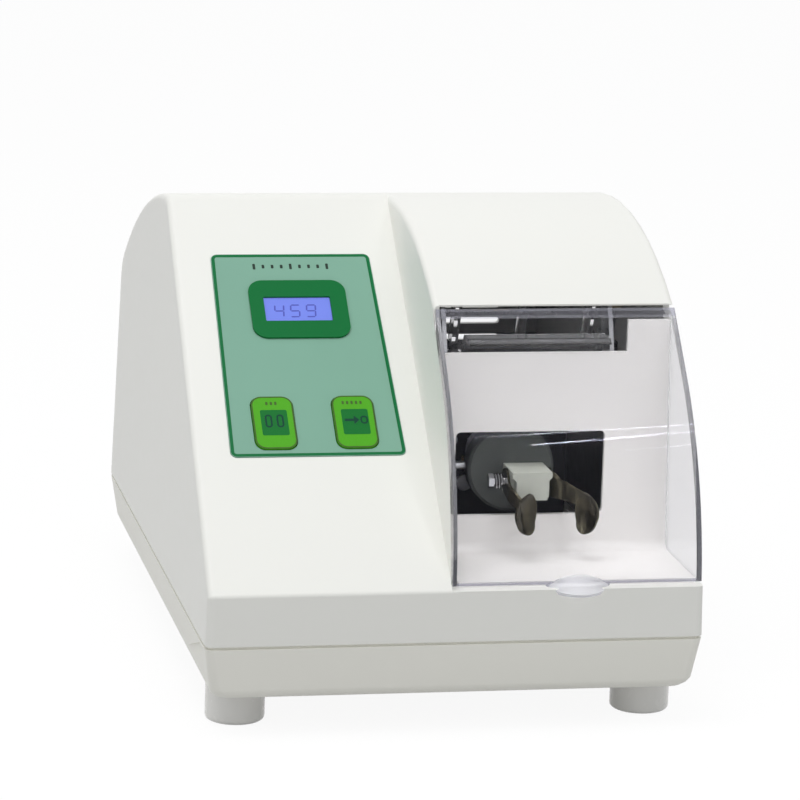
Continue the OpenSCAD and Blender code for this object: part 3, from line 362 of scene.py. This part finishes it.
# Parts of the cover that are less than clear, each a mask with the share of light that it scatters
# and its tint: a violet-grey painted along the edges of the front that stands in for the light and
# shade the sheet's edges show, the polished milky thumb grip, and a faint haze on the tongue behind
# the lip and on the right wing
def cover_tints(s):
    sheet, grip_out, edge_w, edge_left, edge_low, edge_top = COVER_T + 0.2, 0.3, 2.5, 1.1, 1.0, 2.7
    tongue_in, tongue_z, tongue_side, wing_w = 4.0, 108.0, 6.0, 3.0
    x, y, z = s.place()
    depth = cover_depth(s, y, z)
    flank = s.math("MULTIPLY_ADD", z, math.tan(SIDE_DRAFT), x)
    grip = s.math("LESS_THAN", depth, -grip_out)
    front = s.math("SUBTRACT", s.math("LESS_THAN", depth, sheet), grip)
    sides = s.math("MAXIMUM", s.math("GREATER_THAN", flank, HALF_W - edge_w),
                   s.math("LESS_THAN", x, COVER_LEFT + edge_left))
    ends = s.math("MAXIMUM", s.math("LESS_THAN", z, COVER_AXIS[1] + edge_low),
                  s.math("GREATER_THAN", y, LIP_Y - edge_top))
    # Violet-grey painted along the edges of the front: painted light and shade of the sheet's edges
    painted_edge_shading = s.math("MULTIPLY", front, s.math("MAXIMUM", sides, ends))
    tongue = s.all_of(("GREATER_THAN", depth, tongue_in), ("GREATER_THAN", z, tongue_z),
                      ("LESS_THAN", flank, HALF_W - tongue_side),
                      ("GREATER_THAN", x, COVER_LEFT + tongue_side))
    wing = s.all_of(("GREATER_THAN", flank, HALF_W - wing_w), ("GREATER_THAN", depth, sheet))
    return ((painted_edge_shading, 0.22, (0.61, 0.61, 0.68, 1.0)), (grip, 0.47, (0.9, 0.9, 0.93, 1.0)),
            (tongue, 0.085, (0.92, 0.92, 0.93, 1.0)), (wing, 0.058, (0.9, 0.9, 0.91, 1.0)))


# Clear acrylic that lets lamps through to what stands behind it
def clear_acrylic(name):
    s = Shader(name)
    s.put(Transmission_Weight=1.0, IOR=1.46, Roughness=0.0, Specular_Tint=(0.13, 0.13, 0.16, 1.0))
    color = s.drift(30.0, 2.0, (0.955, 0.953, 0.968, 1.0), (0.964, 0.963, 0.974, 1.0))
    clear = 1.0
    for mask, share, tint in cover_tints(s):
        color = s.mix(mask, color, tint)
        clear = s.math("SUBTRACT", clear, s.math("MULTIPLY", mask, share))
    s.color(color)
    s.link(clear, s.base.inputs["Transmission Weight"])
    passing = s.node("ShaderNodeBsdfTransparent")
    passing.inputs["Color"].default_value = (0.985, 0.985, 0.99, 1.0)
    lamp_rays = s.node("ShaderNodeLightPath").outputs["Is Shadow Ray"]
    mix_shaders(s.tree, lamp_rays, s.base.outputs["BSDF"], passing.outputs["BSDF"], s.output)
    return s.material


# The material of each slot in the record
def make_materials():
    made = {}

    def add(kind, name, *values, **named):
        made[name] = kind(name, *values, **named)

    # housing_white carries a near-black painted shade on its inner faces round the motor
    add(plastic, "housing_white", rgb(243, 243, 238), 0.36, 0.22, 0.012, gloss=0.3,
        inner=rgb(36, 37, 38))
    add(plastic, "pan_grey", rgb(249, 248, 240), 0.4, 0.3, 0.014, gloss=0.3)
    add(plastic, "liner_white", rgb(239, 237, 235), 0.38, 0.08, 0.008, gloss=0.25)
    add(clear_acrylic, "clear_cover")
    add(printed_film, "overlay_green", rgb(133, 178, 158))
    add(printed_film, "bezel_green", rgb(4, 112, 54))
    add(printed_film, "display_blue", rgb(118, 135, 228), 0.14, 0.18)
    add(printed_film, "button_green", rgb(84, 174, 34), 0.26)
    add(board, "board_green", rgb(22, 96, 58))
    add(plastic, "black_plastic", rgb(24, 24, 26), 0.42, 0.6, 0.1, 900, gloss=0.3)
    add(plastic, "ivory_plastic", rgb(228, 218, 192), 0.4, 0.3, 0.04)
    add(plastic, "block_plastic", rgb(184, 187, 177), 0.42, 0.35, 0.04, gloss=0.3)
    add(plastic, "hub_grey", rgb(78, 82, 79), 0.5, 0.4, 0.08, gloss=0.25)
    add(plastic, "rocker_red", rgb(176, 26, 24), 0.24, 0.2, 0.05)
    add(metal, "steel", rgb(176, 177, 180), 0.3)
    add(spring_leaf, "claw_steel", rgb(88, 84, 70))
    add(metal, "chrome", rgb(196, 197, 200), 0.14, (1, 1, 6), 0.1)
    add(metal, "brass", rgb(204, 170, 92), 0.26)
    add(plastic, "motor_paint", rgb(26, 28, 30), 0.46, 0.7, 0.08, 600, gloss=0.25)
    add(metal, "cast_alloy", rgb(172, 174, 176), 0.46, (1, 1, 1), 0.6, 0.12)
    add(laminated, "laminations", rgb(120, 118, 116), (0.0, 1.7, 0.0))
    add(rubber, "buffer_rubber", rgb(34, 34, 35))
    add(plastic, "foot_grey", rgb(248, 247, 243), 0.24, 0.2, 0.04, 900, coat=0.25, gloss=0.35)
    return made


# Welds the split corners of a CAD mesh, drops its stored normals and smooths what turns less
# than an angle
def soft_normals():
    weld_gap, sharp_angle = 2e-6, math.radians(34)
    group = bpy.data.node_groups.new("soft_normals", "GeometryNodeTree")
    for side in ("INPUT", "OUTPUT"):
        group.interface.new_socket("Geometry", in_out=side, socket_type="NodeSocketGeometry")
    new, link = group.nodes.new, group.links.new
    start, end = new("NodeGroupInput"), new("NodeGroupOutput")
    weld = new("GeometryNodeMergeByDistance")
    weld.inputs["Distance"].default_value = weld_gap
    drop = new("GeometryNodeRemoveAttribute")
    drop.inputs["Name"].default_value = "custom_normal"
    faces = new("GeometryNodeSetShadeSmooth")
    faces.domain = "FACE"
    turn = new("GeometryNodeInputMeshEdgeAngle")
    above = new("FunctionNodeCompare")
    above.data_type, above.operation = "FLOAT", "GREATER_THAN"
    above.inputs["B"].default_value = sharp_angle
    edges = new("GeometryNodeSetShadeSmooth")
    edges.domain = "EDGE"
    edges.inputs["Shade Smooth"].default_value = False
    link(start.outputs[0], weld.inputs["Geometry"])
    link(weld.outputs["Geometry"], drop.inputs["Geometry"])
    link(drop.outputs["Geometry"], faces.inputs["Geometry"])
    link(faces.outputs["Geometry"], edges.inputs["Geometry"])
    link(turn.outputs["Unsigned Angle"], above.inputs["A"])
    link(above.outputs["Result"], edges.inputs["Selection"])
    link(edges.outputs["Geometry"], end.inputs[0])
    return group


def dress_nodes(materials):
    slots = {row["node"]: row["material_slot"] for row in frame["record"]["subparts"]}
    group = soft_normals()
    for name, node in frame["nodes"].items():
        node.data.materials.clear()
        node.data.materials.append(materials[slots[name]])
        smooth = node.modifiers.new("soft_normals", "NODES")
        smooth.node_group = group
        weighted = node.modifiers.new("weighted", "WEIGHTED_NORMAL")
        weighted.keep_sharp = True
        weighted.weight = 60


# Outline helpers for the prints, as points across and up the slope
def arc(cx, cy, r, a0, a1, n):
    return [(cx + r * math.cos(math.radians(a0 + (a1 - a0) * i / n)),
             cy + r * math.sin(math.radians(a0 + (a1 - a0) * i / n))) for i in range(n + 1)]


def rounded(cx, cy, w, h, r, n=6):
    x, y = w / 2 - r, h / 2 - r
    return (arc(cx + x, cy - y, r, -90, 0, n) + arc(cx + x, cy + y, r, 0, 90, n)
            + arc(cx - x, cy + y, r, 90, 180, n) + arc(cx - x, cy - y, r, 180, 270, n))


# The leaning outline of the overlay, moved in by an inset
def panel_outline(inset):
    lean = math.atan((PANEL_W - PANEL_TOP_W) / 2 / PANEL_H)
    turn = math.degrees(lean)

    def corner(v, a0, a1):
        centre = PANEL_W / 2 - v * math.tan(lean) - PANEL_R / math.cos(lean)
        return arc(centre, v, PANEL_R - inset, a0, a1, 6)

    right = corner(PANEL_R, -90, turn) + corner(PANEL_H - PANEL_R, turn, 90)
    return ([(PANEL_X + x, PANEL_V + v) for x, v in right]
            + [(PANEL_X - x, PANEL_V + v) for x, v in reversed(right)])


def new_piece(name, bm, body, material):
    mesh = bpy.data.meshes.new(name)
    bmesh.ops.recalc_face_normals(bm, faces=bm.faces)
    bm.to_mesh(mesh)
    bm.free()
    piece = bpy.data.objects.new(name, mesh)
    bpy.context.scene.collection.objects.link(piece)
    mesh.materials.append(material)
    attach(piece, body)


# Adds a flat print between two heights over the slope: a filled outline, or a band between two
# outlines
def add_print(bm, outer, heights, inner=None):
    loops = [[bm.verts.new(on_slope(x, v, w)) for x, v in line]
             for line in (outer, inner) if line for w in heights]
    if inner is None:
        bm.faces.new(loops[0])
        bm.faces.new(loops[1])
        sides = [(0, 1)]
    else:
        sides = [(0, 1), (1, 3), (3, 2), (2, 0)]
    for a, b in ((loops[i], loops[j]) for i, j in sides):
        for i in range(len(outer)):
            j = (i + 1) % len(outer)
            bm.faces.new((a[i], a[j], b[j], b[i]))


# A rounded ring with a band of one width
def add_ring(bm, cx, cy, w, h, r, band, inner_r, heights):
    add_print(bm, rounded(cx, cy, w, h, r), heights,
              rounded(cx, cy, w - 2 * band, h - 2 * band, inner_r))


# One bar of a seven-segment digit, with pointed ends
def segment(cx, cy, length, width, upright, slant):
    half, tip = length / 2, width / 2
    points = [(-half, 0), (-half + tip, -tip), (half - tip, -tip), (half, 0), (half - tip, tip),
              (-half + tip, tip)]
    if upright:
        points = [(y, x) for x, y in points]
    return [(cx + x + slant * (cy + y), cy + y) for x, y in points]


# The bars that each digit lights, named clockwise from the top one, with g in the middle
SEGMENTS = {"4": "fgbc", "5": "afgcd", "9": "abcdfg"}


def digit(bm, char, x, v, heights):
    w, h, bar, gap, slant = 4.2, 7.0, 0.75, 0.25, 0.08
    places = {"a": (0, h / 2, False), "g": (0, 0, False), "d": (0, -h / 2, False),
              "f": (-w / 2, h / 4, True), "b": (w / 2, h / 4, True),
              "e": (-w / 2, -h / 4, True), "c": (w / 2, -h / 4, True)}
    for part in SEGMENTS[char]:
        cx, cy, upright = places[part]
        shape = segment(cx, cy, (h / 2 if upright else w) - gap, bar, upright, slant)
        add_print(bm, [(x + a, v + b) for a, b in shape], heights)


# Print heights: a little below the face that carries it, up to the thickness of the ink
INK, SUNK, ICON_SUNK = 0.05, 0.02, 0.01


def over(face):
    return face - SUNK, face + INK


# A row of upright tick marks round a middle, in place of words
def add_ticks(bm, x, v, count, pitch, width, height_of, r, n, heights):
    for i in range(count):
        add_print(bm, rounded(x + (i - (count - 1) / 2) * pitch, v, width, height_of(i), r, n),
                  heights)


# Two upright loops on the set key
def add_loops(bm, x, v, heights):
    apart, w, h, r, band, inner_r = 2.7, 3.4, 7.4, 1.6, 0.85, 0.8
    for side in (-1, 1):
        add_ring(bm, x + side * apart, v, w, h, r, band, inner_r, heights)


# An arrow to a small ring on the start key
def add_arrow(bm, x, v, heights):
    tail, neck, tip, shaft, head = -4.8, -0.4, 2.2, 0.7, 2.5
    add_print(bm, [(x + tail, v - shaft), (x + neck, v - shaft), (x + neck, v - head), (x + tip, v),
                   (x + neck, v + head), (x + neck, v + shaft), (x + tail, v + shaft)], heights)
    add_ring(bm, x + 4.4, v, 3.6, 4.6, 1.7, 0.8, 0.9, heights)


def make_overlay_prints():
    border_inset = (0.25, 1.75)
    title_x, title_v, ticks, pitch, tick_w = PANEL_X - 0.6, PANEL_V + 112.4, 9, 4.4, 1.3
    tall, short, tall_every = 3.4, 2.2, 4
    digits_x, digits_v, digit_pitch = PANEL_X - 9.0, DISPLAY_V - 0.8, 7.6

    bm = bmesh.new()
    add_print(bm, panel_outline(border_inset[0]), over(OVERLAY_TOP), panel_outline(border_inset[1]))
    border_ink = printed_film("print_dark_green", rgb(18, 112, 62), 0.3)
    new_piece("overlay_border", bm, "housing", border_ink)

    bm = bmesh.new()
    add_ticks(bm, title_x, title_v, ticks, pitch, tick_w,
              lambda i: short if i % tall_every else tall, 0.4, 3, over(OVERLAY_TOP))
    new_piece("title_marks", bm, "housing", printed_film("print_title", rgb(48, 62, 54), 0.32))

    bm = bmesh.new()
    for i, char in enumerate("459"):
        digit(bm, char, digits_x + digit_pitch * i, digits_v, over(WINDOW_TOP))
    new_piece("display_digits", bm, "housing",
              printed_film("print_digits", rgb(92, 100, 196), 0.16))


def make_key_prints():
    outline_r, outline_band, outline_inner_r = 5, 0.7, 4.3
    mark_pitch, mark_w, mark_h, mark_up = 2.1, 1.1, 1.9, 11.0
    field_w, field_h, field_r = 12.6, 14.6, 0.9
    olive = printed_film("print_olive", rgb(72, 104, 44), 0.3)
    key_green = printed_film("print_key_green", rgb(16, 116, 46), 0.28)
    key_ink = printed_film("print_key_ink", rgb(12, 66, 52), 0.3)
    on_key = over(BUTTON_TOP)
    on_field = (on_key[1] - ICON_SUNK, on_key[1] + INK)
    for body, x, marks in (("set_key", BUTTON_X[0], 3), ("start_key", BUTTON_X[1], 5)):
        bm = bmesh.new()
        add_ring(bm, x, BUTTON_V, *BUTTON_SIZE, outline_r, outline_band, outline_inner_r, on_key)
        add_ticks(bm, x - 0.3, BUTTON_V + mark_up, marks, mark_pitch, mark_w, lambda i: mark_h,
                  0.3, 2, on_key)
        new_piece(body + "_outline", bm, body, olive)
        bm = bmesh.new()
        add_print(bm, rounded(x + 0.3, BUTTON_V - 0.1, field_w, field_h, field_r, 4), on_key)
        new_piece(body + "_field", bm, body, key_green)
        bm = bmesh.new()
        if body == "set_key":
            add_loops(bm, x + 0.3, BUTTON_V + 0.8, on_field)
        else:
            add_arrow(bm, x, BUTTON_V + 0.9, on_field)
        new_piece(body + "_icon", bm, body, key_ink)


# Rectangular lamp of a size in metres, aimed at a point
def lamp(name, place, target, size, watts):
    data = bpy.data.lights.new(name, "AREA")
    data.shape = "RECTANGLE"
    data.size, data.size_y = size
    data.energy = watts
    light = bpy.data.objects.new(name, data)
    bpy.context.scene.collection.objects.link(light)
    light.location = place
    light.rotation_mode = "QUATERNION"
    light.rotation_quaternion = (Vector(target) - Vector(place)).to_track_quat("-Z", "Y")
    return light


# Thin tube between two points, aimed at the cover, whose reflection is a line across the clear
# front
def strip(name, start, end, thick, watts):
    cover_front = local(55, 20, 88)
    start, end = Vector(start), Vector(end)
    middle = (start + end) / 2
    light = lamp(name, middle, cover_front, ((end - start).length, thick), watts)
    back = (middle - cover_front).normalized()
    upward = back.cross((end - start).normalized()).normalized()
    axes = Matrix((upward.cross(back), upward, back)).transposed()
    light.rotation_quaternion = axes.to_quaternion()


# White to the rays that show a background, and softer light for everything else
def make_world():
    world = bpy.data.worlds.new("studio")
    bpy.context.scene.world = world
    world.use_nodes = True
    tree = world.node_tree
    tree.nodes.clear()
    output = tree.nodes.new("ShaderNodeOutputWorld")
    seen, lit = tree.nodes.new("ShaderNodeBackground"), tree.nodes.new("ShaderNodeBackground")
    seen.inputs["Color"].default_value = (1, 1, 1, 1)
    lit.inputs["Color"].default_value = (0.98, 0.99, 1.0, 1)
    lit.inputs["Strength"].default_value = 0.55
    mix_shaders(tree, background_rays(tree), lit.outputs["Background"],
                seen.outputs["Background"], output)


# Pale floor a hair below the feet. It keeps the object's shadow, glows to white where it is
# seen, and sends a plain grey bounce to the object.
def make_floor():
    reach, below, glow_share = 9.0, 0.0003, 0.9
    bm = bmesh.new()
    bmesh.ops.create_grid(bm, x_segments=4, y_segments=4, size=reach)
    mesh = bpy.data.meshes.new("floor")
    bm.to_mesh(mesh)
    bm.free()
    floor = bpy.data.objects.new("floor", mesh)
    floor.location.z = -below
    bpy.context.scene.collection.objects.link(floor)
    s = Shader("floor_white")
    s.put(Roughness=0.8, Specular_IOR_Level=0.2)
    glow = s.node("ShaderNodeEmission")
    glow.inputs["Strength"].default_value = 1.02
    camera_rays = s.node("ShaderNodeLightPath").outputs["Is Camera Ray"]
    s.color(s.mix(camera_rays, s.drift(2.0, 2.0, grey(0.49), grey(0.51)), grey(0.97)))
    share = s.math("MULTIPLY", background_rays(s.tree), glow_share)
    mix_shaders(s.tree, share, s.base.outputs["BSDF"], glow.outputs["Emission"], s.output)
    mesh.materials.append(s.material)


def make_lamps():
    middle, soft = (0.0, 0.0, 0.1), (1.2, 1.2)
    lamp("key_overhead", (-0.38, -0.45, 1.9), middle, soft, 14.2)
    lamp("left_fill", (-1.6, -0.5, 1.6), middle, soft, 2.6)
    strip("streak_upper", (0.262, -0.972, 0.967), (0.435, -0.926, 0.989), 0.008, 0.42)
    strip("streak_middle", (0.313, -1.027, 0.9), (0.434, -0.969, 0.946), 0.011, 0.5)
    strip("streak_lower", (0.382, -1.067, 0.84), (0.432, -1.046, 0.859), 0.006, 0.07)


bpy.context.scene.view_settings.view_transform = "Standard"
make_camera()
make_world()
make_floor()
make_lamps()
dress_nodes(make_materials())
make_overlay_prints()
make_key_prints()
